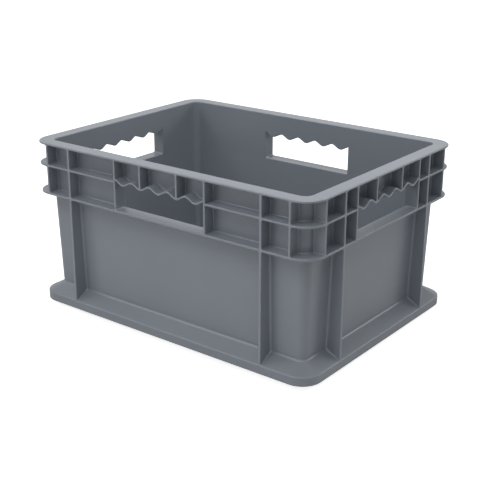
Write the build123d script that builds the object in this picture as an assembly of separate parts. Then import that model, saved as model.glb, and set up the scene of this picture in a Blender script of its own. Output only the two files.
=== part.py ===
from build123d import *
import math
import os

# Stacking crate, one injection moulding with no moving parts.  Each node below is one named region of
# the moulding, and neighbours meet face to face.
# Millimetres.  Origin at the middle of the underside of the stacking foot, +X along the crate's length,
# +Y across its width with the front at -Y, +Z up.

# Outside
LENGTH = 400.0            # over the rim, ledges and base flange, along X
WIDTH = 298.5             # the same, along Y
HEIGHT = 209.5            # underside of the stacking foot to the top of the rim
CORNER_RADIUS = 24.0      # outer corners of the rim, ledges and base flange

# Walls.  An inset is how far a face lies in from the outside, level with the ribs' outer edges.
WALL = 2.6                # wall thickness
BAND_INSET = 14.4         # outer face of the walls in the upright band behind the ribs
WALL_CORNER = 12.0        # outer corner radius of the walls in the band
BASE_INSET = 18.7         # the same at the flange's underside, after the draft, and on down the foot
BASE_CORNER = 8.4         # outer corner radius of the walls there

# Heights
FOOT_HEIGHT = 9.1         # the foot drops this far into the rim of the crate below
FLANGE_EDGE = 10.4        # height of the flange's upright edge
SLOPE_TOP = 29.5          # where the flange's sloping top meets the walls
LOWER_LEDGE_TOP = 149.6   # also the sill of the hand holes
LOWER_LEDGE = 2.8         # thickness
MID_LEDGE_TOP = 183.5
MID_LEDGE = 2.4
RIM = 2.5                 # thickness of the rim plate

# Ribs, each at plus and minus this distance from the middle of its side
POST_RIB = 3.0            # thickness of the full-height ribs
POST_RIB_LONG = 138.0
POST_RIB_SHORT = 87.5
BAND_RIB = 2.5            # thickness of the ribs that stay in the band
HANDLE_RIB_PLACE = 64.8   # either side of each hand hole
GRIP_RIB_PLACE = 26.3     # above each wavy grip
CORNER_RIB_END = 26.4     # from the end of the side to the short rib beside each corner

# Wavy grip that roofs each hand hole
GRIP_MEAN = 182.9         # height of its middle line
GRIP_WAVE = 2.6           # rise and fall of the middle line
GRIP_PITCH = 26.0         # finger spacing
GRIP = 2.3                # thickness

# Underside.  The foot clears the rim opening of the crate below by BASE_INSET - BAND_INSET - WALL a side.
FLOOR_BOTTOM = 3.0        # above the underside of the foot
FLOOR = 3.2               # thickness
GRID_RIB = 2.5            # thickness of the ribs under the floor
GRID_ALONG = 8            # ribs that cross the width, spread along the length
GRID_ACROSS = 6           # ribs that run the length, spread across the width
GUSSET = 3.0              # thickness of the stiffening webs inside the flange
GUSSET_SPACING = 38.0     # from one web to the next
GUSSET_END = 40.0         # the last web stands at least this far from the end of the side

# Worked out from the above
CORNER_RIB_LONG = LENGTH / 2 - CORNER_RIB_END
CORNER_RIB_SHORT = WIDTH / 2 - CORNER_RIB_END
RIM_BOTTOM = HEIGHT - RIM
FLANGE_TOP = FOOT_HEIGHT + FLANGE_EDGE
LOWER_LEDGE_BOTTOM = LOWER_LEDGE_TOP - LOWER_LEDGE
MID_LEDGE_BOTTOM = MID_LEDGE_TOP - MID_LEDGE
INNER_INSET = BAND_INSET + WALL
WINDOW_HALF = HANDLE_RIB_PLACE - BAND_RIB / 2
DRAFT = (BASE_INSET - BAND_INSET) / (LOWER_LEDGE_BOTTOM - FOOT_HEIGHT)
SLOPE_INSET = BASE_INSET - DRAFT * (SLOPE_TOP - FOOT_HEIGHT)
SLOPE_RISE = (SLOPE_TOP - FLANGE_TOP) / SLOPE_INSET
REACH = 30.0              # deeper than any wall, for tool bodies that are trimmed by the walls

# Name, turn about Z from the front, outer plane, half the side's length, full-height ribs
SIDES = [
    ("front", 0, WIDTH / 2, LENGTH / 2, POST_RIB_LONG),
    ("right", 90, LENGTH / 2, WIDTH / 2, POST_RIB_SHORT),
    ("rear", 180, WIDTH / 2, LENGTH / 2, POST_RIB_LONG),
    ("left", 270, LENGTH / 2, WIDTH / 2, POST_RIB_SHORT),
]
CORNERS = {
    "front_left": (-1, -1),
    "front_right": (1, -1),
    "rear_right": (1, 1),
    "rear_left": (-1, 1),
}


def outline(inset, radius, z):
    """Rounded rectangle at height z whose sides lie inset in from the outside."""
    face = RectangleRounded(LENGTH - 2 * inset, WIDTH - 2 * inset, radius)
    return Plane.XY.offset(z) * face


def block(inset, radius, bottom, top):
    """Upright block on that outline."""
    return extrude(outline(inset, radius, bottom), top - bottom)


def tapered(low, high):
    """Block between two outlines, each given as (inset, radius, z)."""
    return loft([outline(*low), outline(*high)], ruled=True)


def slab(u_low, u_high, half, near, far, bottom, top):
    """Box in a side's own frame: u along the side, near and far inset from the outer plane."""
    size_u = u_high - u_low
    size_d = far - near
    place = Pos((u_low + u_high) / 2, -half + (near + far) / 2, (bottom + top) / 2)
    return place * Box(size_u, size_d, top - bottom)


def turned(shape, turn):
    """Carry a shape from the front side's frame to the side at this turn."""
    return Rot(0, 0, turn) * shape


def wave_height(u, offset):
    """Height of the grip's middle line at u, plus offset; it bulges down at the middle finger gap."""
    return GRIP_MEAN - GRIP_WAVE * math.cos(2 * math.pi * u / GRIP_PITCH) + offset


def wave_curve(offset):
    """The grip's line across the hand hole, with four spans to a finger."""
    spans = 4 * round(2 * WINDOW_HALF / GRIP_PITCH)
    step = 2 * WINDOW_HALF / spans
    points = []
    for index in range(spans + 1):
        u = -WINDOW_HALF + index * step
        points.append((u, wave_height(u, offset)))
    return Spline(*points)


def sill_line():
    """The hand hole's lower edge."""
    return Line((-WINDOW_HALF, LOWER_LEDGE_TOP), (WINDOW_HALF, LOWER_LEDGE_TOP))


def under_curve(curve, bottom_line):
    """Face between a curve across the hand hole and the line or curve below it."""
    start = Line(bottom_line @ 0, curve @ 0)
    end = Line(curve @ 1, bottom_line @ 1)
    return make_face([bottom_line, end, curve, start])


def side_prism(face, half, near, far):
    """Carry a face drawn in (u, z) through the side, from inset near to inset far."""
    upright = Plane((0, -half + near, 0), x_dir=(1, 0, 0), z_dir=(0, -1, 0))
    return extrude(upright * face, -(far - near))


def solids_of(shape):
    """Every solid of a result, as one compound."""
    return Compound(children=list(shape.solids()))


# Outer skin of the walls, filled in: ribs, ledges and the flange are cut back to it.
core = block(BAND_INSET, WALL_CORNER, LOWER_LEDGE_BOTTOM, RIM_BOTTOM)
core += tapered((BASE_INSET, BASE_CORNER, FOOT_HEIGHT), (BAND_INSET, WALL_CORNER, LOWER_LEDGE_BOTTOM))

# Space that the walls enclose.
inside = block(INNER_INSET, WALL_CORNER - WALL, LOWER_LEDGE_BOTTOM, RIM_BOTTOM)
inside += tapered(
    (BASE_INSET + WALL, BASE_CORNER - WALL, FOOT_HEIGHT),
    (INNER_INSET, WALL_CORNER - WALL, LOWER_LEDGE_BOTTOM),
)
shell = core - inside

# Solid form of the base flange, and the hollow under its skin.
slope_skin = WALL * math.hypot(1, SLOPE_RISE)
hollow_top = FLANGE_TOP - slope_skin + SLOPE_RISE * WALL
hollow_peak = SLOPE_TOP - slope_skin
draft_share = (SLOPE_INSET - BAND_INSET) / (BASE_INSET - BAND_INSET)
slope_corner = WALL_CORNER - (WALL_CORNER - BASE_CORNER) * draft_share
flange_form = block(0, CORNER_RADIUS, FOOT_HEIGHT, FLANGE_TOP)
flange_form += tapered((0, CORNER_RADIUS, FLANGE_TOP), (SLOPE_INSET, slope_corner, SLOPE_TOP))
flange_hollow = block(WALL, CORNER_RADIUS - WALL, FOOT_HEIGHT, hollow_top)
flange_hollow += tapered((WALL, CORNER_RADIUS - WALL, hollow_top), (SLOPE_INSET, slope_corner, hollow_peak))


def make_walls():
    """Four side walls, each with its hand hole, and four rounded corner walls between them."""
    nodes = {}
    for name, turn, half, _, post in SIDES:
        panel = shell & turned(slab(-post, post, half, 0, REACH, FOOT_HEIGHT, RIM_BOTTOM), turn)
        hole = side_prism(under_curve(wave_curve(GRIP / 2), sill_line()), half, 0, REACH)
        nodes["wall_" + name] = panel - turned(hole, turn)
    for name, (side_x, side_y) in CORNERS.items():
        size_x = LENGTH / 2 - POST_RIB_LONG
        size_y = WIDTH / 2 - POST_RIB_SHORT
        middle_x = side_x * (POST_RIB_LONG + size_x / 2)
        middle_y = side_y * (POST_RIB_SHORT + size_y / 2)
        cell = Pos(middle_x, middle_y, HEIGHT / 2) * Box(size_x, size_y, HEIGHT)
        nodes["corner_wall_" + name] = shell & cell
    return nodes


def make_rim():
    """Flat plate round the top, from the outside to the inner face of the walls."""
    plate = block(0, CORNER_RADIUS, RIM_BOTTOM, HEIGHT)
    return {"rim": plate - block(INNER_INSET, WALL_CORNER - WALL, RIM_BOTTOM, HEIGHT)}


def make_ledges():
    """Lower ledge all the way round, and the middle ledge in four corner lengths."""
    lower = block(0, CORNER_RADIUS, LOWER_LEDGE_BOTTOM, LOWER_LEDGE_TOP) - core
    nodes = {"lower_ledge": lower}
    ring = block(0, CORNER_RADIUS, MID_LEDGE_BOTTOM, MID_LEDGE_TOP) - core
    inner = HANDLE_RIB_PLACE + BAND_RIB / 2
    for name, (side_x, side_y) in CORNERS.items():
        size_x = LENGTH / 2 - inner
        size_y = WIDTH / 2 - inner
        middle_x = side_x * (inner + size_x / 2)
        middle_y = side_y * (inner + size_y / 2)
        quarter = Pos(middle_x, middle_y, MID_LEDGE_TOP) * Box(size_x, size_y, 4 * MID_LEDGE)
        nodes["mid_ledge_" + name] = ring & quarter
    return nodes


def make_ribs():
    """Upright ribs of each side, trimmed by the walls, ledges and flange."""
    nodes = {}
    lower = block(0, CORNER_RADIUS, LOWER_LEDGE_BOTTOM, LOWER_LEDGE_TOP)
    middle = block(0, CORNER_RADIUS, MID_LEDGE_BOTTOM, MID_LEDGE_TOP)
    for name, turn, half, _, post in SIDES:
        posts = None
        handles = None
        shorts = None
        for sign in (-1, 1):
            u = sign * post
            rib = slab(u - POST_RIB / 2, u + POST_RIB / 2, half, 0, REACH, FLANGE_TOP, RIM_BOTTOM)
            posts = rib if posts is None else posts + rib
            u = sign * HANDLE_RIB_PLACE
            rib = slab(u - BAND_RIB / 2, u + BAND_RIB / 2, half, 0, BAND_INSET, LOWER_LEDGE_TOP, RIM_BOTTOM)
            handles = rib if handles is None else handles + rib
            u = sign * GRIP_RIB_PLACE
            rib = slab(u - BAND_RIB / 2, u + BAND_RIB / 2, half, 0, BAND_INSET, GRIP_MEAN, RIM_BOTTOM)
            shorts = rib if shorts is None else shorts + rib
        hole = side_prism(under_curve(wave_curve(GRIP / 2), sill_line()), half, 0, REACH)
        nodes["post_ribs_" + name] = turned(posts, turn) - core - flange_form - lower - middle
        nodes["handle_ribs_" + name] = turned(handles, turn)
        nodes["grip_ribs_" + name] = turned(shorts - hole, turn)
    band = block(0, CORNER_RADIUS, LOWER_LEDGE_TOP, RIM_BOTTOM) - core - middle
    for name, (side_x, side_y) in CORNERS.items():
        length_rib = Pos(side_x * CORNER_RIB_LONG, side_y * (WIDTH / 2 - REACH / 2), 0)
        width_rib = Pos(side_x * (LENGTH / 2 - REACH / 2), side_y * CORNER_RIB_SHORT, 0)
        pair = length_rib * Box(BAND_RIB, REACH, 2 * HEIGHT)
        pair += width_rib * Box(REACH, BAND_RIB, 2 * HEIGHT)
        nodes["corner_ribs_" + name] = band & pair
    return nodes


def make_grips():
    """Wavy strip that roofs each hand hole, from the outer plane to the wall's inner face."""
    nodes = {}
    for name, turn, half, _, _ in SIDES:
        strip = under_curve(wave_curve(GRIP / 2), wave_curve(-GRIP / 2))
        nodes["grip_" + name] = turned(side_prism(strip, half, 0, INNER_INSET), turn)
    return nodes


def make_base():
    """Hollow base flange with its webs, the stacking foot, the floor and the ribs under it."""
    nodes = {"base_flange": flange_form - flange_hollow - core}
    webs = None
    for _, turn, half, run, _ in SIDES:
        count = 2 * int((run - GUSSET_END) / GUSSET_SPACING) + 1
        for index in range(count):
            u = (index - (count - 1) / 2) * GUSSET_SPACING
            web = slab(u - GUSSET / 2, u + GUSSET / 2, half, 0, REACH, FOOT_HEIGHT, SLOPE_TOP)
            web = turned(web, turn)
            webs = web if webs is None else webs + web
    nodes["flange_webs"] = (webs & flange_hollow) - core
    foot_inner = BASE_INSET + WALL
    foot = block(BASE_INSET, BASE_CORNER, 0, FOOT_HEIGHT)
    foot -= block(foot_inner, BASE_CORNER - WALL, 0, FOOT_HEIGHT)
    nodes["stacking_foot"] = foot
    nodes["floor_panel"] = block(foot_inner, BASE_CORNER - WALL, FLOOR_BOTTOM, FLOOR_BOTTOM + FLOOR)
    span_x = LENGTH - 2 * foot_inner
    span_y = WIDTH - 2 * foot_inner
    grid = None
    for index in range(GRID_ALONG):
        x = -span_x / 2 + (index + 1) * span_x / (GRID_ALONG + 1)
        rib = Pos(x, 0, FLOOR_BOTTOM / 2) * Box(GRID_RIB, span_y, FLOOR_BOTTOM)
        grid = rib if grid is None else grid + rib
    for index in range(GRID_ACROSS):
        y = -span_y / 2 + (index + 1) * span_y / (GRID_ACROSS + 1)
        grid += Pos(0, y, FLOOR_BOTTOM / 2) * Box(span_x, GRID_RIB, FLOOR_BOTTOM)
    nodes["floor_grid"] = grid
    return nodes


def main():
    os.makedirs("parts", exist_ok=True)
    nodes = {}
    for maker in (make_walls, make_rim, make_ledges, make_ribs, make_grips, make_base):
        nodes.update(maker())
    volume = 0.0
    for name, shape in nodes.items():
        piece = solids_of(shape)
        volume += piece.volume
        export_step(piece, "parts/" + name + ".step")
    print(len(nodes), "nodes,", round(volume / 1000, 1), "cubic centimetres")


main()
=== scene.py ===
# %% [markdown]
# # A stacking crate in moulded plastic
# The real crate is one injection moulding: walls about 2.6 mm thick, stiffened by ledges and ribs, with a
# hand hole in every side.  Nothing on it moves.  The CAD frame holds it as named regions with sharp edges.
# A mould never leaves a sharp edge, so each region is made again here as a surface with its real rounded
# edges and fillets, in the same place.  The first step loads the frame and keeps its box for later.

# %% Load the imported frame
import math

import bpy
import numpy as np
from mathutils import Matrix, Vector


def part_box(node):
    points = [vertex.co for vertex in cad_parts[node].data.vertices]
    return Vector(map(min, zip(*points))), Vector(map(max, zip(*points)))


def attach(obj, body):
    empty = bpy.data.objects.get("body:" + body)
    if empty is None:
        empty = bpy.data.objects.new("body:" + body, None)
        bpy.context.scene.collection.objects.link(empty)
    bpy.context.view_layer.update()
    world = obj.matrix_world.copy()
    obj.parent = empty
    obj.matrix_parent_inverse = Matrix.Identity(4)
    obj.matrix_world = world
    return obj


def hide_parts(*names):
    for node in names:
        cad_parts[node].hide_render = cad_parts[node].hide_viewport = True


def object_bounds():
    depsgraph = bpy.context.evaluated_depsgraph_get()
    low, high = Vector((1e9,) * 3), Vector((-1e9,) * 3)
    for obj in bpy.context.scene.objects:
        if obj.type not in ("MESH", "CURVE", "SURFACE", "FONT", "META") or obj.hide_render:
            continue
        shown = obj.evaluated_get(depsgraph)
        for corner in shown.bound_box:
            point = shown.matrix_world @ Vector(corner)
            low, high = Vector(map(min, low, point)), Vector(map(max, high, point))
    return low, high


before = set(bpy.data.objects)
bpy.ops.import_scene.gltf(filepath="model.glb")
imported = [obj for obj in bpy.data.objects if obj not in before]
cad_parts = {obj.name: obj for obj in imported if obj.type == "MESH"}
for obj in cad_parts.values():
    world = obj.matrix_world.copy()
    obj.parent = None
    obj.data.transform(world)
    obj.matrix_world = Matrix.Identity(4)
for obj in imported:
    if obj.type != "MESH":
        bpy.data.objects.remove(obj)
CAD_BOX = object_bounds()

print("frame:", len(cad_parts), "nodes, box", [round(v, 4) for v in CAD_BOX[1]])

# %% [markdown]
# ## Sizes
# Every place is worked out from the frame, in millimetres, so the looks can't drift from the design.  An
# inset is how far a face lies in from the outside of the rim.  The thicknesses of the ribs and grips and the
# three corner radii are the design's own numbers.  The small radii are finishing sizes that a mould maker
# picks: fillets of about two thirds of the wall thickness where two walls join, and rounds on every free
# edge so that the part leaves the mould and is kind to hands.

# %% Read the sizes off the frame
MM = 0.001                # metres in a millimetre


def box_mm(name):
    """Lowest and highest corner of a CAD node, in millimetres."""
    low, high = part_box(name)
    return np.array(low) / MM, np.array(high) / MM


HALF = np.array(CAD_BOX[1])[:2] / MM
TOP = CAD_BOX[1][2] / MM
RIM_LOW = box_mm("rim")[0][2]
LOWER_LOW, LOWER_TOP = (corner[2] for corner in box_mm("lower_ledge"))
MID_LOW, MID_TOP = (corner[2] for corner in box_mm("mid_ledge_front_right"))
FLANGE_LOW, SLOPE_TOP = (corner[2] for corner in box_mm("base_flange"))
FLOOR_LOW, FLOOR_TOP = (corner[2] for corner in box_mm("floor_panel"))
BAND_INSET = HALF[1] + box_mm("wall_front")[0][1]
BASE_INNER = HALF[1] + box_mm("wall_front")[1][1]
BASE_INSET = HALF[0] - box_mm("stacking_foot")[1][0]
WALL = BASE_INNER - BASE_INSET
BAND_INNER = BAND_INSET + WALL
POST_RIB = 3.0            # thickness of the full-height ribs
BAND_RIB = 2.5            # thickness of the ribs in the band
GRIP = 2.3                # thickness of the wavy grips
GRIP_PITCH = 26.0         # from one wave of a grip to the next, a finger's width and some room
FLANGE_EDGE = 10.4        # height of the flange's upright edge
POST_PLACES = [box_mm("post_ribs_front")[1][0] - POST_RIB / 2, box_mm("post_ribs_right")[1][1] - POST_RIB / 2]
HANDLE_PLACE = box_mm("handle_ribs_front")[1][0] - BAND_RIB / 2
GRIP_RIB_PLACE = box_mm("grip_ribs_front")[1][0] - BAND_RIB / 2
corner_low, corner_high = box_mm("corner_ribs_front_right")
CORNER_PLACES = [corner_low[0] + BAND_RIB / 2, BAND_RIB / 2 - corner_high[1]]
WINDOW_HALF = HANDLE_PLACE - BAND_RIB / 2
grip_low, grip_high = box_mm("grip_front")
GRIP_MEAN = (grip_low[2] + grip_high[2]) / 2
GRIP_WAVE = (grip_high[2] - grip_low[2] - GRIP) / 2

CORNER = 24.0             # outer corner radius of the rim, ledges and flange
BAND_CORNER = 12.0        # outer corner radius of the walls behind the ribs
BASE_CORNER = 8.4         # the same at the foot
EDGE = 0.8                # round on the free edges of ribs and ledges
RIM_EDGE = 1.1            # round on the rim, the edge that hands meet
FILLET = 1.7              # fillet in the band, where ribs, ledges and walls join
POST_FILLET = 2.4         # larger fillet along the full-height ribs and at their feet on the flange
SLOPE_TURN = 1.3          # round between the flange's upright edge and its slope
BURIED_ROUND = 0.1        # round on corners that a neighbour hides
CRISP = 0.05              # the same where there is less room
SUNK = 0.5                # how far a fillet's end is buried in the wall, so that no gap shows
TUCK = 0.3                # how far a swollen rib end or a bar's end runs into its neighbour
RECESS = 0.1              # ribs stop this far behind the ledges, so that no two faces share a plane
ARC_STEPS = 6             # points on each small round
CORNER_STEPS = 18         # spans round each corner of the crate
print("band wall inset", round(BAND_INSET, 2), "wall", round(WALL, 2), "hand hole", round(2 * WINDOW_HALF, 1))

# %% [markdown]
# ## Outlines with soft corners
# A ledge, the rim and the flange each have one cross-section all the way round.  The section could be drawn
# sharp and bevelled afterwards, but then inside corners and outside corners need separate care.  Here a
# section is a short list of corners, each with its own radius, and one formula turns every corner, inside or
# outside, into an arc.  The same function marks the larger outside rounds for a painted highlight, which the
# finish reads.

# %% Soft outlines
HIGHLIT_FROM = 0.4           # outside rounds larger than this get the painted highlight
CREST = 1.5               # the painted highlight rises this steeply from a round's end and is full over its middle


def unit(vectors):
    """Vectors divided by their lengths."""
    return vectors / np.linalg.norm(vectors, axis=-1, keepdims=True)


def soften(corners):
    """Corners (inset, height, radius) of a closed section become arcs.

    Each arc's centre is on the corner's bisector, radius over the sine of half the corner's angle away,
    and its ends are radius over the tangent of that half angle along the two edges.
    """
    corners = np.asarray(corners, float)
    spot, radius = corners[:, :2], corners[:, 2, None]
    back = unit(np.roll(spot, 1, 0) - spot)
    ahead = unit(np.roll(spot, -1, 0) - spot)
    half = np.arccos(np.clip((back * ahead).sum(1, keepdims=True), -1, 1)) / 2
    centre = spot + unit(back + ahead) * radius / np.sin(half)
    start = spot + back * radius / np.tan(half) - centre
    finish = spot + ahead * radius / np.tan(half) - centre
    sweep = (np.pi - 2 * half)[:, None]
    share = np.linspace(0, 1, ARC_STEPS)[None, :, None]
    arc = np.sin((1 - share) * sweep) * start[:, None] + np.sin(share * sweep) * finish[:, None]
    points = (centre[:, None] + arc / np.sin(sweep)).reshape(-1, 2)
    turn = ahead[:, 0] * back[:, 1] - ahead[:, 1] * back[:, 0]
    area = (spot[:, 0] * np.roll(spot[:, 1], -1) - np.roll(spot[:, 0], -1) * spot[:, 1]).sum()
    # outside rounds are marked for a painted highlight: a paler colour laid on the round
    highlit = (turn * area > 0) & (radius[:, 0] > HIGHLIT_FROM)
    crest = np.clip(CREST * np.sin(np.linspace(0, math.pi, ARC_STEPS)), 0, 1)
    return points[:, 0], points[:, 1], (highlit[:, None] * crest).reshape(-1)


print("a square's outline becomes", len(soften([(0, 0, 1), (9, 0, 1), (9, 9, 1), (0, 9, 1)])[0]), "points")

# %% [markdown]
# ## Going round the crate
# The crate's plan is a rounded rectangle, and everything that goes round it follows the same line at some
# inset.  A station is one stop on that line: either a fixed place on a straight side, or an angle on a
# corner whose centre depends on the inset and the corner radius.  Carrying a section along the stations
# gives a grid of points, so every ring of the crate is one call.  Sides are counted anticlockwise from the
# front: 0 front, 1 right, 2 rear, 3 left, and corner n lies between side n and the next.

# %% Stations and grids


def side_axes(side):
    """Direction of travel along a side, anticlockwise seen from above, and its outward direction."""
    angle = math.pi / 2 * side
    return np.round([math.cos(angle), math.sin(angle)]), np.round([math.sin(angle), -math.cos(angle)])


def on_side(side, places):
    """Stations at fixed places along a straight side."""
    travel, outward = side_axes(side)
    places = np.atleast_1d(np.asarray(places, float))
    fixed = np.where(np.abs(travel) > 0.5, travel * places[:, None], np.nan)
    return fixed, np.tile(outward, (len(places), 1)), np.full(len(places), math.pi / 2 * (side - 1))


def round_corner(side):
    """Stations at even angles round the corner after a side."""
    signs = side_axes(side)[1] + side_axes(side + 1)[1]
    angle = math.pi / 2 * (side - 1) + np.linspace(0, math.pi / 2, CORNER_STEPS + 1)
    return np.full((len(angle), 2), np.nan), np.tile(signs, (len(angle), 1)), angle


def ring_radius(inset):
    """Corner radius of the rim and ledges at an inset, straight between the outside and the walls' skins."""
    return np.interp(inset, [0, BAND_INSET, BAND_INNER], [CORNER, BAND_CORNER, BAND_CORNER - WALL])


def join_stations(runs):
    """One run of stations from several."""
    return tuple(np.concatenate(parts) for parts in zip(*runs))


def whole_round(places=()):
    """Stations all the way round, with extra ones at the given places on every side."""
    runs = []
    for side in range(4):
        if len(places):
            runs.append(on_side(side, places))
        runs.append(round_corner(side))
    return join_stations(runs)


def corner_round(side, places):
    """Stations from a place on one side, round its corner, to the same sort of place on the next side."""
    before, after = places[side % 2], places[(side + 1) % 2]
    return join_stations([on_side(side, before), round_corner(side), on_side(side + 1, -after)])


def grid_faces(rows, columns, wrap_rows, wrap_columns):
    """Quads of a grid of points, closed on itself along rows or columns where asked."""
    index = np.arange(rows * columns).reshape(rows, columns)
    if wrap_rows:
        index = np.vstack([index, index[:1]])
    if wrap_columns:
        index = np.hstack([index, index[:, :1]])
    around = [index[:-1, :-1], index[:-1, 1:], index[1:, 1:], index[1:, :-1]]
    return np.stack(around, -1).reshape(-1, 4)


def tube_faces(rows, columns):
    """Faces of a tube: a closed section along rows, with a flat face at each end of the columns."""
    first = np.arange(rows)[None, :] * columns
    return [grid_faces(rows, columns, True, False), first, first[:, ::-1] + columns - 1]


def carry(inset, height, highlit, radius, stations, closed):
    """Carry a closed section along stations.

    A point is its corner's centre plus the corner radius times the outward direction; the centre lies
    inset plus radius in from both sides, or at the fixed place of a station on a straight side.
    """
    fixed, signs, angle = stations
    size = (len(highlit), len(angle))
    inset, height, radius = (np.broadcast_to(v if np.ndim(v) == 2 else np.reshape(v, (-1, 1)), size)
                             for v in (inset, height, radius))
    centre = signs * (HALF - (inset + radius)[..., None])
    centre = np.where(np.isnan(fixed), centre, fixed)
    outward = np.stack([np.cos(angle), np.sin(angle)], -1)
    plan = centre + radius[..., None] * outward
    points = np.concatenate([plan, height[..., None]], -1).reshape(-1, 3)
    faces = [grid_faces(*size, True, True)] if closed else tube_faces(*size)
    return points, faces, np.broadcast_to(highlit[:, None], size).reshape(-1)


def in_side(side, along, depth, height):
    """Points from a side's own frame: along it, in from its outer plane, and up."""
    travel, outward = side_axes(side)
    plane = HALF[1 - side % 2]
    along, depth, height = np.broadcast_arrays(along, depth, height)
    plan = travel * along[..., None] + outward * (plane - depth)[..., None]
    return np.concatenate([plan, height[..., None]], -1).reshape(-1, 3)


print("stations round the crate:", len(whole_round()[2]))

# %% [markdown]
# ## From points to pieces
# A mesh can be filled vertex by vertex through bmesh, which is easy to read but slow, or in one go from
# arrays with foreach_set, which is used here.  A solid whose enclosed volume comes out negative is inside
# out, so its faces are turned round: that test works for any closed shape.  Flat faces beside small rounds
# shade wrongly when normals are averaged evenly, so a Weighted Normal modifier lets the large faces decide.

# %% Mesh helper
SHARP = math.radians(40)  # edges that turn more than this stay sharp
pieces = {}


def facing_out(points, faces):
    """Faces turned round where the solid's volume, a sum of signed tetrahedra to the origin, is negative."""
    volume = 0.0
    for group in faces:
        first = points[group[:, 0]]
        for step in range(1, group.shape[1] - 1):
            spread = np.cross(points[group[:, step]], points[group[:, step + 1]])
            volume += (first * spread).sum()
    return faces if volume > 0 else [group[:, ::-1] for group in faces]


def make_piece(name, solids):
    """One mesh object from solids given as (points in millimetres, face groups, painted highlight mask)."""
    points = np.concatenate([solid[0] for solid in solids]) * MM
    highlit = np.concatenate([solid[2] for solid in solids])
    starts = np.cumsum([0] + [len(solid[0]) for solid in solids])
    groups = []
    for start, (own, faces, _) in zip(starts, solids):
        groups += [group + start for group in facing_out(own, faces)]
    corners = np.concatenate([group.ravel() for group in groups])
    sizes = np.concatenate([np.full(len(group), group.shape[1]) for group in groups])
    mesh = bpy.data.meshes.new(name)
    mesh.vertices.add(len(points))
    mesh.vertices.foreach_set("co", points.ravel().astype(np.float32))
    mesh.loops.add(len(corners))
    mesh.loops.foreach_set("vertex_index", corners.astype(np.int32))
    mesh.polygons.add(len(sizes))
    mesh.polygons.foreach_set("loop_start", np.concatenate([[0], np.cumsum(sizes)[:-1]]).astype(np.int32))
    mesh.update(calc_edges=True)
    mesh.validate()
    mesh.polygons.foreach_set("use_smooth", np.ones(len(mesh.polygons), bool))
    mesh.set_sharp_from_angle(angle=SHARP)
    # per point, the mask of the painted highlight on outside rounds, which the finish reads
    mesh.attributes.new("painted_highlight", "FLOAT", "POINT").data.foreach_set("value", highlit.astype(np.float32))
    piece = bpy.data.objects.new(name, mesh)
    bpy.context.scene.collection.objects.link(piece)
    pieces[name] = piece
    return piece


def even_normals(piece):
    """Let large flat faces decide the shading beside small rounds."""
    modifier = piece.modifiers.new("even_normals", "WEIGHTED_NORMAL")
    modifier.keep_sharp = True


print("pieces so far:", len(pieces))

# %% [markdown]
# ## Rim
# The rim is a flat plate about 17 mm wide.  It is what hands and the crate above rest on, so its edges are
# the softest ones.  Its section also carries the fillet that joins its underside to the wall: the fillet's
# end is buried in the wall, where nobody can see how the two meshes meet.

# %% Rim
rim_section = soften([
    (0, RIM_LOW, EDGE),
    (BAND_INSET, RIM_LOW, FILLET),
    (BAND_INSET, RIM_LOW - FILLET - BURIED_ROUND, BURIED_ROUND),
    (BAND_INSET + SUNK, RIM_LOW - FILLET - BURIED_ROUND, BURIED_ROUND),
    (BAND_INSET + SUNK, RIM_LOW, BURIED_ROUND),
    (BAND_INNER, RIM_LOW, BURIED_ROUND),
    (BAND_INNER, TOP, RIM_EDGE),
    (0, TOP, RIM_EDGE),
])
make_piece("rim", [carry(*rim_section, ring_radius(rim_section[0]), whole_round(), True)])
print("rim:", len(pieces["rim"].data.polygons), "faces")

# %% [markdown]
# ## Ledges
# Two ledges run round the band like shelves.  The lower one is also the sill of the four hand holes, so its
# upper fillet has to vanish there and come back behind the ribs either side.  That is done by making the
# section twice, with and without the upper fillet, and mixing the two by station.  The middle ledge stops
# at the hand holes, so it is four lengths, one round each corner.

# %% Ledges
SEAM = 0.01               # a fillet this small is no fillet


def ledge_section(low, top, upper_fillet):
    """Section of a ledge, with a fillet under it and one of the given radius over it."""
    return soften([
        (0, low, EDGE),
        (BAND_INSET, low, FILLET),
        (BAND_INSET, low - FILLET - BURIED_ROUND, BURIED_ROUND),
        (BAND_INSET + SUNK, low - FILLET - BURIED_ROUND, BURIED_ROUND),
        (BAND_INSET + SUNK, top + upper_fillet - 0.2, CRISP),
        (BAND_INSET, top + upper_fillet * 1.03, upper_fillet * 0.01),    # just above the fillet's end
        (BAND_INSET, top, upper_fillet),
        (0, top, EDGE),
    ])


outer_face = HANDLE_PLACE + BAND_RIB / 2
sill_places = [-outer_face, -WINDOW_HALF, WINDOW_HALF, outer_face]
sill_stations = whole_round(sill_places)
has_fillet = np.concatenate([[1, 0, 0, 1] + [1] * (CORNER_STEPS + 1)] * 4).astype(float)
full = ledge_section(LOWER_LOW, LOWER_TOP, FILLET)
bare = ledge_section(LOWER_LOW, LOWER_TOP, SEAM)
inset = full[0][:, None] * has_fillet + bare[0][:, None] * (1 - has_fillet)
height = full[1][:, None] * has_fillet + bare[1][:, None] * (1 - has_fillet)
make_piece("lower_ledge", [carry(inset, height, full[2], ring_radius(inset), sill_stations, True)])

CORNER_NAMES = ["front_right", "rear_right", "rear_left", "front_left"]
SIDE_NAMES = ["front", "right", "rear", "left"]
mid_section = ledge_section(MID_LOW, MID_TOP, FILLET)
for side, corner in enumerate(CORNER_NAMES):
    stations = corner_round(side, [outer_face - RECESS, outer_face - RECESS])
    make_piece("mid_ledge_" + corner, [carry(*mid_section, ring_radius(mid_section[0]), stations, False)])
print("ledges:", 1 + len(CORNER_NAMES))

# %% [markdown]
# ## Walls
# The walls stand upright behind the band and lean in by about two degrees below it, so that the part leaves
# the mould.  The four corner walls are one section carried round a corner.  A side wall has a hole, so it is
# a grid of cells between two skins with the hole's cells left out: wherever a kept cell borders a missing
# one, a quad joins the skins.  The inside edge of the hole gets its round from a Bevel modifier that acts
# only on marked edges, because the wall's other edges meet a neighbour and must stay square.

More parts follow.
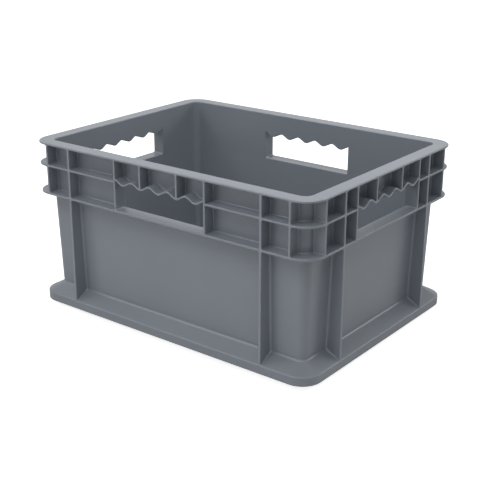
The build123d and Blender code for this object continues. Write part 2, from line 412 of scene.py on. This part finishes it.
# %% Wave of the hand grip and wall insets
WAVE_SPANS = 96           # spans along each wavy edge
wave_places = np.linspace(-WINDOW_HALF, WINDOW_HALF, WAVE_SPANS + 1)


def wave(along):
    """Height of the grip's middle line: the mean less a cosine, lowest in the middle of the side."""
    return GRIP_MEAN - GRIP_WAVE * np.cos(2 * np.pi * np.asarray(along) / GRIP_PITCH)


def outer_inset(height):
    """Inset of the walls' outer face at a height, straight between the ends of the draft."""
    return np.interp(height, [FLANGE_LOW, LOWER_LOW], [BASE_INSET, BAND_INSET])


def outer_radius(height):
    """Corner radius of the walls' outer face at a height, straight between the same ends."""
    return np.interp(height, [FLANGE_LOW, LOWER_LOW], [BASE_CORNER, BAND_CORNER])


print("walls lean in by", round(float(outer_inset(FLANGE_LOW) - outer_inset(LOWER_LOW)), 2), "mm")

# %% Corner walls
wall_heights = np.array([FLANGE_LOW, LOWER_LOW, RIM_LOW])
skin_radius = outer_radius(wall_heights)
wall_section = np.concatenate([outer_inset(wall_heights), (outer_inset(wall_heights) + WALL)[::-1]])
wall_radius = np.concatenate([skin_radius, (skin_radius - WALL)[::-1]])
section_heights = np.concatenate([wall_heights, wall_heights[::-1]])
for side, corner in enumerate(CORNER_NAMES):
    stations = corner_round(side, POST_PLACES)
    solid = carry(wall_section, section_heights, np.zeros(len(wall_section)), wall_radius, stations, False)
    make_piece("corner_wall_" + corner, [solid])
print("corner walls:", len(CORNER_NAMES))

# %% Side walls
HOLE_ROUND = 0.9          # round on the inside edge of each hand hole


def cell_faces(kept):
    """Faces of a sheet of cells with two skins: kept is true for each cell that is there.

    The front skin's points come first, row by row, and then the back skin's.  The difference between a cell
    and the one before it is one or minus one exactly where the hole or the sheet ends: a quad goes there.
    """
    rows, columns = kept.shape[0] + 1, kept.shape[1] + 1
    index = np.arange(rows * columns).reshape(rows, columns)
    back = rows * columns
    skin = np.stack([index[:-1, :-1], index[:-1, 1:], index[1:, 1:], index[1:, :-1]], -1)[kept]
    faces = [skin, skin[:, ::-1] + back]
    padded = np.pad(kept, 1)
    across = padded[1:-1, 1:].astype(int) - padded[1:-1, :-1].astype(int)
    upward = padded[1:, 1:-1].astype(int) - padded[:-1, 1:-1].astype(int)
    for change, start, end in ((across, index[:-1], index[1:]), (-upward, index[:, :-1], index[:, 1:])):
        for sign in (1, -1):
            low, high = (start, end) if sign > 0 else (end, start)
            low, high = low[change == sign], high[change == sign]
            faces.append(np.stack([low, high, high + back, low + back], -1))
    return faces


def make_wall(side):
    """A side wall with its hand hole."""
    post = POST_PLACES[side % 2]
    along = np.concatenate([[-post], wave_places, [post]])
    roof = wave(np.clip(along, -WINDOW_HALF, WINDOW_HALF)) + GRIP / 2
    rows = [np.full(len(along), v) for v in (FLANGE_LOW, LOWER_LOW, LOWER_TOP)]
    height = np.array(rows + [roof, np.full(len(along), RIM_LOW)])
    sill_row, roof_row, jambs = 2, 3, (1, WAVE_SPANS + 1)
    kept = np.ones((height.shape[0] - 1, height.shape[1] - 1), bool)
    kept[sill_row, 1:-1] = False
    depth = outer_inset(height)
    outer = in_side(side, along[None, :], depth, height)
    inner = in_side(side, along[None, :], depth + WALL, height)
    piece = make_piece("wall_" + SIDE_NAMES[side],
                       [(np.concatenate([outer, inner]), cell_faces(kept), np.zeros(2 * height.size))])
    ends = np.zeros(len(piece.data.edges) * 2, int)
    piece.data.edges.foreach_get("vertices", ends)
    ends = ends.reshape(-1, 2) - len(outer)
    row, column = ends // len(along), ends % len(along)
    sill = (row == sill_row).all(1) & (column >= jambs[0]).all(1) & (column <= jambs[1]).all(1)
    upright = np.isin(row, (sill_row, roof_row)).all(1) & (row[:, 0] != row[:, 1])
    jamb = upright & np.isin(column, jambs).all(1)
    marks = piece.data.attributes.new("bevel_weight_edge", "FLOAT", "EDGE")
    marks.data.foreach_set("value", (sill | jamb).astype(np.float32))
    bevel = piece.modifiers.new("hole_round", "BEVEL")
    bevel.limit_method = "WEIGHT"
    bevel.width = HOLE_ROUND * MM
    bevel.segments = 4


for side in range(4):
    make_wall(side)
print("walls:", [name for name in pieces if name.startswith("wall_")])

# %% [markdown]
# ## Ribs
# A rib is a thin upright plate with a round on its free edge and a fillet wherever it meets the wall, a
# ledge or the flange.  Bevelling the joined-up crate would find those junctions, but it breaks where three
# of them meet.  Instead the rib's side is a surface over depth and height: its half thickness grows by a
# quarter-circle rule as the wall comes near, and again as either end comes near.  All fillets fall out of
# that one sum, even where they cross.

# %% Rib surface
quarter = np.linspace(0, math.pi / 2, ARC_STEPS)
NEAR = 1 - np.sin(quarter)      # distance from a joint, from one radius down to none
SWELL = 1 - np.cos(quarter)     # how far a fillet of radius 1 stands out there


def rib(side, place, thickness, low, high, fillet=FILLET, ends=(FILLET, FILLET), flares=(1, 1),
        sunk=(SUNK, SUNK)):
    """A rib from low to high, each a height or a function of depth.

    Half thickness = half the plate, less the edge round near the free edge, plus the wall fillet near the
    wall, plus the end fillet near either end.  flares switches the wall fillet on each side, ends gives the
    fillets at the low and high end, and sunk how far each end runs on into its neighbour.
    """
    low_at = low if callable(low) else lambda depth: np.full_like(depth, low)
    high_at = high if callable(high) else lambda depth: np.full_like(depth, high)
    reach = np.concatenate([[-sunk[0]], ends[0] * NEAR[::-1], -ends[1] * NEAR, [sunk[1]]])
    swell = np.concatenate([[ends[0]], ends[0] * SWELL[::-1], ends[1] * SWELL, [ends[1]]])
    from_low = np.arange(len(reach)) <= ARC_STEPS
    deep = np.array([BASE_INSET])
    wall_height = np.where(from_low, low_at(deep), high_at(deep)) + reach
    wall = outer_inset(wall_height)
    edge_depth = RECESS + EDGE * NEAR[::-1]
    edge_half = thickness / 2 - EDGE * SWELL[::-1]
    halves = []
    for flare in flares:
        joint = thickness / 2 + flare * fillet * SWELL
        buried = thickness / 2 + flare * fillet - TUCK
        halves.append(np.concatenate([edge_half, joint, [buried]]))
    to_edge = np.broadcast_to(edge_depth[:, None], (ARC_STEPS, len(reach)))
    to_wall = wall[None, :] - np.concatenate([fillet * NEAR, [-SUNK]])[:, None]
    depth = np.concatenate([to_edge, to_wall])
    height = np.where(from_low, low_at(depth), high_at(depth)) + reach
    fade = np.clip(depth / fillet, 0, 1) if callable(low) else np.ones_like(depth)
    left, right = (half[:, None] + swell * np.where(from_low, fade, 1) for half in halves)
    along = place + np.concatenate([-left[::-1], right])
    depth, height = (np.concatenate([v[::-1], v]) for v in (depth, height))
    points = in_side(side, along, depth, height)
    # the round on the rib's free edge gets the painted highlight
    highlit = np.zeros(along.shape)
    highlit[ARC_STEPS + 2:3 * ARC_STEPS] = 1
    return points, tube_faces(*along.shape), highlit.reshape(-1)


def slope(depth):
    """Height of the flange's sloping top at a depth, rising in a straight line to the wall."""
    turn = FLANGE_LOW + FLANGE_EDGE
    return turn + (SLOPE_TOP - turn) * depth / outer_inset(SLOPE_TOP)


print("fillet points from a joint:", len(NEAR))

# %% Full-height ribs
SLOPE_SUNK = 1.2          # a rib's foot runs this far into the flange, whose slope starts with a round
for side, name in enumerate(SIDE_NAMES):
    solids = []
    for sign in (-1, 1):
        place = sign * POST_PLACES[side % 2]
        solids.append(rib(side, place, POST_RIB, slope, LOWER_LOW, POST_FILLET, (POST_FILLET, FILLET),
                          sunk=(SLOPE_SUNK, SUNK)))
        solids.append(rib(side, place, POST_RIB, LOWER_TOP, MID_LOW))
        solids.append(rib(side, place, POST_RIB, MID_TOP, RIM_LOW))
    make_piece("post_ribs_" + name, solids)
print("full-height ribs at", [round(float(v), 1) for v in POST_PLACES], "mm from the middle")

# %% Ribs beside the hand holes
split = float(wave(WINDOW_HALF))
for side, name in enumerate(SIDE_NAMES):
    solids = []
    for sign in (-1, 1):
        flares = (1, 0) if sign < 0 else (0, 1)
        place = sign * HANDLE_PLACE
        solids.append(rib(side, place, BAND_RIB, LOWER_TOP, split, ends=(FILLET, SEAM), flares=flares,
                          sunk=(SUNK, SEAM)))
        solids.append(rib(side, place, BAND_RIB, split, RIM_LOW, ends=(SEAM, FILLET), sunk=(SEAM, SUNK)))
    make_piece("handle_ribs_" + name, solids)
print("hand-hole ribs at", round(float(HANDLE_PLACE), 1), "mm, in two lengths that meet at", round(split, 1))

# %% Ribs over the grips and at the corners
for side, name in enumerate(SIDE_NAMES):
    roof = float(wave(GRIP_RIB_PLACE)) + GRIP / 2
    solids = [rib(side, sign * GRIP_RIB_PLACE, BAND_RIB, roof, RIM_LOW) for sign in (-1, 1)]
    make_piece("grip_ribs_" + name, solids)
for side, name in enumerate(CORNER_NAMES):
    solids = []
    for owner, sign in ((side, 1), ((side + 1) % 4, -1)):
        place = sign * CORNER_PLACES[owner % 2]
        solids.append(rib(owner, place, BAND_RIB, LOWER_TOP, MID_LOW))
        solids.append(rib(owner, place, BAND_RIB, MID_TOP, RIM_LOW))
    make_piece("corner_ribs_" + name, solids)
print("ribs:", sum(len(p.data.polygons) for n, p in pieces.items() if "ribs" in n), "faces")

# %% [markdown]
# ## Wavy grips
# The roof of each hand hole is a wavy strip that fits four fingers.  It is one soft section, from the outer
# plane of the ribs to the inside of the wall, carried along a cosine.  It could be an array of bent tubes,
# but a single sheared section keeps the same thickness up and down, as a mould with an upright draw does.

# %% Grips
GRIP_ROUND = 0.95         # outer edge, nearly a full half circle
GRIP_INNER_ROUND = 1.0    # inner edge, where the fingers bend round
GRIP_FILLET = 1.5         # over the grip, up to the wall
grip_section = soften([
    (RECESS, -GRIP / 2, GRIP_ROUND),
    (RECESS, GRIP / 2, GRIP_ROUND),
    (BAND_INSET, GRIP / 2, GRIP_FILLET),
    (BAND_INSET, GRIP / 2 + 1.6, CRISP),
    (BAND_INSET + SUNK, GRIP / 2 + 1.6, CRISP),
    (BAND_INSET + 1, GRIP / 2 - 0.2, CRISP),
    (BAND_INNER, GRIP / 2, 0.02),
    (BAND_INNER, -GRIP / 2, GRIP_INNER_ROUND),
])
grip_places = np.concatenate([[-WINDOW_HALF - SUNK], wave_places, [WINDOW_HALF + SUNK]])
for side, name in enumerate(SIDE_NAMES):
    depth, rise, highlit = grip_section
    points = in_side(side, grip_places[None, :], depth[:, None], wave(grip_places)[None, :] + rise[:, None])
    faces = tube_faces(len(depth), len(grip_places))
    make_piece("grip_" + name, [(points, faces, np.repeat(highlit, len(grip_places)))])
print("grips: pitch", GRIP_PITCH, "mm, rise and fall", round(GRIP_WAVE, 2), "mm")

# %% [markdown]
# ## Base flange and foot
# The flange is a hollow skirt: an upright edge, a sloping top, and an open channel below that keeps the
# walls of the moulding equally thick.  At the corners its outside turns on a 24 mm radius and its top meets
# the much tighter corner of the wall, so the radius is a function of the inset, and the slope becomes part
# of a cone there.  The foot below it is the wall carried on downwards, to nest in the rim of the crate below.

# %% Base flange
FLANGE_FILLET = 3.4       # between the slope and the wall
slope_inset = float(outer_inset(SLOPE_TOP))
rise = (SLOPE_TOP - FLANGE_LOW - FLANGE_EDGE) / slope_inset
skin = WALL * math.hypot(1, rise)    # the wall's thickness, measured straight up through the slope
fillet_top = SLOPE_TOP + 2.6
buried = float(outer_inset(fillet_top)) + 0.9
flange_section = soften([
    (0, FLANGE_LOW, EDGE),
    (0, FLANGE_LOW + FLANGE_EDGE, SLOPE_TURN),
    (slope_inset, SLOPE_TOP, FLANGE_FILLET),
    (float(outer_inset(fillet_top)), fillet_top, BURIED_ROUND),
    (buried, fillet_top, BURIED_ROUND),
    (buried, SLOPE_TOP - skin, BURIED_ROUND),
    (WALL, FLANGE_LOW + FLANGE_EDGE - skin + rise * WALL, 1.5),
    (WALL, FLANGE_LOW, 0.4),
])
radius_ends = [CORNER, outer_radius(SLOPE_TOP), BASE_CORNER]
flange_radius = np.interp(flange_section[0], [0, slope_inset, BASE_INSET], radius_ends)
make_piece("base_flange", [carry(*flange_section, flange_radius, whole_round(), True)])
print("flange slope:", round(math.degrees(math.atan(rise)), 1), "degrees over", round(slope_inset, 2), "mm")

# %% Stacking foot
FOOT_LEAD = 1.1           # outer round that leads the foot into the rim below
foot_section = soften([
    (BASE_INSET, 0, FOOT_LEAD),
    (BASE_INSET, FLANGE_LOW, CRISP),
    (BASE_INNER, FLANGE_LOW, CRISP),
    (BASE_INNER, 0, 0.6),
])
foot_radius = BASE_CORNER - (foot_section[0] - BASE_INSET)
make_piece("stacking_foot", [carry(*foot_section, foot_radius, whole_round(), True)])
print("foot:", round(FLANGE_LOW, 1), "mm high, clear of a rim by", round(BASE_INSET - BAND_INNER, 2), "mm")

# %% [markdown]
# ## Floor
# The floor is a flat panel with a fillet up to the walls all round, so dirt can be wiped out of the corners.
# It is a few rounded-rectangle rings, closed by one flat face above and one below.  The ribs under it are
# plain bars with a small round on their lower edges, kept a hair apart in height where they cross.

# %% Floor panel
FLOOR_FILLET = 3.0        # from the floor up to the walls
bend = np.linspace(0, math.pi / 2, ARC_STEPS + 2)
floor_inset = np.concatenate([[BASE_INNER - CRISP], BASE_INNER + FLOOR_FILLET * (1 - np.cos(bend))])
floor_height = np.concatenate([[FLOOR_LOW], FLOOR_TOP + FLOOR_FILLET * (1 - np.sin(bend))])
floor_radius = np.maximum(BASE_CORNER - WALL - (floor_inset - BASE_INNER), 0.4)
rings, stations = len(floor_inset), whole_round()
points, _, highlit = carry(floor_inset, floor_height, np.zeros(rings), floor_radius, stations, True)
count = len(stations[2])
caps = [np.arange(count)[None, ::-1], np.arange(count)[None, :] + (rings - 1) * count]
make_piece("floor_panel", [(points, [grid_faces(rings, count, False, True)] + caps, highlit)])
print("floor:", rings, "rings of", count, "points")

# %% Ribs under the floor
GRID_RIB = 2.5            # thickness of the bars
GRID_ROUND = 0.5          # round on their lower edges
GRID_ALONG = 8            # bars set out along the crate, each running across it
GRID_ACROSS = 6           # bars set out across it, each running along it
GRID_LIFT = 0.1           # the second set stops this much higher, so that no two faces share a plane
span = HALF * 2 - 2 * BASE_INNER


def bar(place, length, lift, crosswise):
    """A bar under the floor: a section with two rounded lower corners, carried straight along."""
    across, up, highlit = soften([
        (-GRID_RIB / 2, lift, GRID_ROUND),
        (GRID_RIB / 2, lift, GRID_ROUND),
        (GRID_RIB / 2, FLOOR_LOW, CRISP),
        (-GRID_RIB / 2, FLOOR_LOW, CRISP),
    ])
    ends = np.array([-length / 2 - TUCK, length / 2 + TUCK])
    along, side_way, rise_up = np.broadcast_arrays(ends[None, :], (place + across)[:, None], up[:, None])
    order = [side_way, along, rise_up] if crosswise else [along, side_way, rise_up]
    return np.stack(order, -1).reshape(-1, 3), tube_faces(len(up), 2), np.repeat(highlit, 2)


bars = []
for index in range(GRID_ALONG):
    bars.append(bar(-span[0] / 2 + (index + 1) * span[0] / (GRID_ALONG + 1), span[1], 0.0, True))
for index in range(GRID_ACROSS):
    bars.append(bar(-span[1] / 2 + (index + 1) * span[1] / (GRID_ACROSS + 1), span[0], GRID_LIFT, False))
make_piece("floor_grid", bars)
for piece in pieces.values():
    even_normals(piece)
print("floor grid:", len(bars), "bars;", len(pieces), "pieces in all")

# %% [markdown]
# ## Finish: moulded polyolefin
# The crate is a polyolefin such as polypropylene, coloured in the granulate and moulded against a lightly
# spark-eroded steel surface.  That gives the eye a satin sheen, not a gloss: the highlight is broad, the
# surface waves very slightly where the part cooled unevenly, and the colour drifts a little with the flow of
# the melt.  The larger outside rounds are painted paler as a painted highlight.  An image texture could carry
# all that, but noise on Object coordinates runs on through every region without a seam.

# %% Node helpers


def linear(code):
    """Linear colour from an sRGB hex code: each channel's curve is undone."""
    channels = [int(code[i:i + 2], 16) / 255 for i in (1, 3, 5)]
    return tuple(v / 12.92 if v <= 0.04045 else ((v + 0.055) / 1.055) ** 2.4 for v in channels) + (1.0,)


def add_node(tree, kind, inputs=None, **settings):
    """Add a node, set its properties, and fill its inputs with values or with links to sockets."""
    new = tree.nodes.new(kind)
    for key, value in settings.items():
        setattr(new, key, value)
    for key, value in (inputs or {}).items():
        if isinstance(value, bpy.types.NodeSocket):
            tree.links.new(value, new.inputs[key])
        else:
            new.inputs[key].default_value = value
    return new


print("a half-bright hex code in linear light:", round(linear("#808080")[0], 3))

# %% Moulded polyolefin
GREY = "#7b828a"          # the plastic as moulded
PALE = "#848a92"          # where the melt ran paler
HIGHLIGHT_GREY = "#92979e"     # painted highlight colour on the outside rounds
FLOW_MM = 90.0            # length of the colour drift
WARP_MM = 60.0            # length of the waves from uneven cooling
WARP_HIGH = 0.05          # their height
GRAIN_MM = 1.2            # spark-eroded grain, really about 0.3 mm and drawn coarser so that it shows
GRAIN_HIGH = 0.012        # its height
PLASTIC_IOR = 1.49        # refractive index of polypropylene
SATIN, SLEEK = 0.37, 0.29 # roughness where the flow is low and where it is high
HIGHLIGHT_SHARE = 0.35         # how far an outside round goes over to its painted highlight colour
polyolefin = bpy.data.materials.new("moulded_polyolefin")
polyolefin.use_nodes = True
tree = polyolefin.node_tree
shader = tree.nodes["Principled BSDF"]
shader.inputs["IOR"].default_value = PLASTIC_IOR
spot = add_node(tree, "ShaderNodeTexCoord").outputs["Object"]
flow = add_node(tree, "ShaderNodeTexNoise", {"Vector": spot, "Scale": 1 / (FLOW_MM * MM), "Detail": 3.0})
warp = add_node(tree, "ShaderNodeTexNoise", {"Vector": spot, "Scale": 1 / (WARP_MM * MM), "Detail": 0.0})
grain = add_node(tree, "ShaderNodeTexNoise", {"Vector": spot, "Scale": 1 / (GRAIN_MM * MM), "Detail": 2.0})
# painted highlight: the marked outside rounds are mixed towards a paler grey
edge = add_node(tree, "ShaderNodeAttribute", attribute_name="painted_highlight")
body = add_node(tree, "ShaderNodeMix", {0: flow.outputs["Fac"], 6: linear(GREY), 7: linear(PALE)},
                data_type="RGBA")
highlight_mix = add_node(tree, "ShaderNodeMath", {0: edge.outputs["Fac"], 1: HIGHLIGHT_SHARE}, operation="MULTIPLY")
colour = add_node(tree, "ShaderNodeMix", {0: highlight_mix.outputs[0], 6: body.outputs[2], 7: linear(HIGHLIGHT_GREY)},
                  data_type="RGBA")
sheen = add_node(tree, "ShaderNodeMapRange", {"Value": flow.outputs["Fac"], "To Min": SATIN, "To Max": SLEEK})
waves = add_node(tree, "ShaderNodeBump", {"Height": warp.outputs["Fac"], "Distance": WARP_HIGH * MM})
tooth = add_node(tree, "ShaderNodeBump", {"Height": grain.outputs["Fac"], "Distance": GRAIN_HIGH * MM,
                                          "Normal": waves.outputs["Normal"]})
tree.links.new(colour.outputs[2], shader.inputs["Base Color"])
tree.links.new(sheen.outputs["Result"], shader.inputs["Roughness"])
tree.links.new(tooth.outputs["Normal"], shader.inputs["Normal"])
print("finish:", len(tree.nodes), "nodes")

# %% [markdown]
# ## Put the finish and the pieces on the frame
# Every new piece stands for the CAD region of its own name.  The little webs inside the flange's channel are
# thin, sharp and out of sight, so their CAD node is kept and only gets the finish.

# %% Finish, replace and ride
for name, piece in pieces.items():
    piece.data.materials.append(polyolefin)
    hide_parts(name)
    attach(piece, "root")
kept = [node for name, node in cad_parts.items() if name not in pieces]
for node in kept:
    node.data.materials.clear()
    node.data.materials.append(polyolefin)
print("replaced", len(pieces), "nodes, kept", [node.name for node in kept])

# %% [markdown]
# ## Studio
# The crate stands on white paper in a white room.  A glossy surface mirrors the room, so the room is bright
# for reflections, but a room that also lit the crate evenly would drown its shape.  Here the world tells
# light rays that scatter apart from the others and stays dim for them.  Seven softboxes then model the form.
# Most are high or far round to one side, so that the ribs' sides turned to the viewer stay dark and the
# shelves read clearly, and a small one hangs straight over the opening and reaches only the inside.

# %% Studio floor
FLOOR_REACH = 4.0         # metres from the middle to the paper's edges
PAPER_WHITE = 0.9         # share of the light that the paper gives back
PAPER_GLOW = 0.85         # light added for the eye only, so that the paper burns out to pure white
paper = bpy.data.materials.new("white_paper")
paper.use_nodes = True
paper_tree = paper.node_tree
sheet = paper_tree.nodes["Principled BSDF"]
sheet.inputs["Base Color"].default_value = (PAPER_WHITE, PAPER_WHITE, PAPER_WHITE, 1)
sheet.inputs["Roughness"].default_value = 0.9
sheet.inputs["Emission Color"].default_value = (1, 1, 1, 1)
ray = add_node(paper_tree, "ShaderNodeLightPath")
glow = add_node(paper_tree, "ShaderNodeMath", {0: ray.outputs["Is Camera Ray"], 1: PAPER_GLOW},
                operation="MULTIPLY")
paper_tree.links.new(glow.outputs[0], sheet.inputs["Emission Strength"])
paper_mesh = bpy.data.meshes.new("studio_floor")
paper_corners = np.array([(-1, -1, 0), (1, -1, 0), (1, 1, 0), (-1, 1, 0)]) * FLOOR_REACH
paper_mesh.from_pydata(paper_corners.tolist(), [], [(0, 1, 2, 3)])
paper_mesh.materials.append(paper)
studio_floor = bpy.data.objects.new("studio_floor", paper_mesh)
bpy.context.scene.collection.objects.link(studio_floor)
print("paper:", 2 * FLOOR_REACH, "m square")

# %% Softboxes
HALF_HEIGHT = TOP * MM / 2


def towards(azimuth, elevation):
    """Unit vector in degrees: azimuth anticlockwise from the front, seen from above, and elevation.

    Along the ground it is the cosine of the elevation long, and it is the sine of the elevation high.
    """
    turn, lift = math.radians(azimuth), math.radians(elevation)
    return Vector((math.sin(turn) * math.cos(lift), -math.cos(turn) * math.cos(lift), math.sin(lift)))


def softbox(name, azimuth, elevation, power, size=1.0, away=2.2):
    """A square softbox that faces the middle of the crate: power in watts, size and distance in metres."""
    light = bpy.data.lights.new(name, "AREA")
    light.shape = "SQUARE"
    light.size = size
    light.energy = power
    lamp = bpy.data.objects.new(name, light)
    lamp.location = Vector((0, 0, HALF_HEIGHT)) + towards(azimuth, elevation) * away
    lamp.rotation_euler = towards(azimuth, elevation).to_track_quat("Z", "Y").to_euler()
    bpy.context.scene.collection.objects.link(lamp)


softbox("softbox_front", 0, 55, 10.0)               # models the front wall and its shelves
softbox("softbox_corner", 40, 50, 5.0)              # over the viewer's shoulder, softens the shadows
softbox("softbox_right", 104, 60, 3.2, 0.6)         # lifts the right wall and slope
softbox("softbox_left", -22, 22, 7.0)               # low, fills the front wall down to the flange
softbox("softbox_key", -55, 44, 6.2, 0.6)           # puts the sheen on the front slope and ledges
softbox("softbox_rear", 138, 22, 8.8, 0.6)          # rakes the right wall from behind
softbox("softbox_over", 90, 80, 1.9, 0.2, 0.75)     # over the opening, for the inside only

# %% White room
ROOM = 0.95               # strength of the room as it is mirrored and seen
FILL = 0.12               # strength of its even light
world = bpy.data.worlds.new("white_room")
bpy.context.scene.world = world
world.use_nodes = True
room = world.node_tree
ray = add_node(room, "ShaderNodeLightPath")
level = add_node(room, "ShaderNodeMapRange", {"Value": ray.outputs["Is Diffuse Ray"], "To Min": ROOM,
                                              "To Max": FILL})
sky = room.nodes["Background"]
sky.inputs["Color"].default_value = (1, 1, 1, 1)
room.links.new(level.outputs["Result"], sky.inputs["Strength"])
bpy.context.scene.view_settings.view_transform = "Standard"
print("room:", ROOM, "as mirrored,", FILL, "as fill light")

# %% [markdown]
# ## Camera
# A long lens a good metre away keeps the crate's upright edges nearly parallel, as in a product picture.  It
# looks down at about 20 degrees onto the corner between the front and the right side, so that two outer
# sides, the rim and two inner sides are seen at once.  The small lens shifts centre the crate in the frame
# without tilting the camera, which would change the perspective.

# %% Camera
AZIMUTH, ELEVATION = 38.0, 20.18                # degrees, the direction from the crate to the camera
camera_data = bpy.data.cameras.new("camera")
camera_data.sensor_width = 36
camera_data.lens = 75.39
camera_data.shift_x = 0.00934
camera_data.shift_y = -0.00241
camera = bpy.data.objects.new("camera", camera_data)
camera.location = (0.70953, -0.91641, 0.50987)
camera.rotation_euler = towards(AZIMUTH, ELEVATION).to_track_quat("Z", "Y").to_euler()
bpy.context.scene.collection.objects.link(camera)
bpy.context.scene.camera = camera
print("camera:", round(camera.location.length, 2), "m from the middle of the crate's footprint")
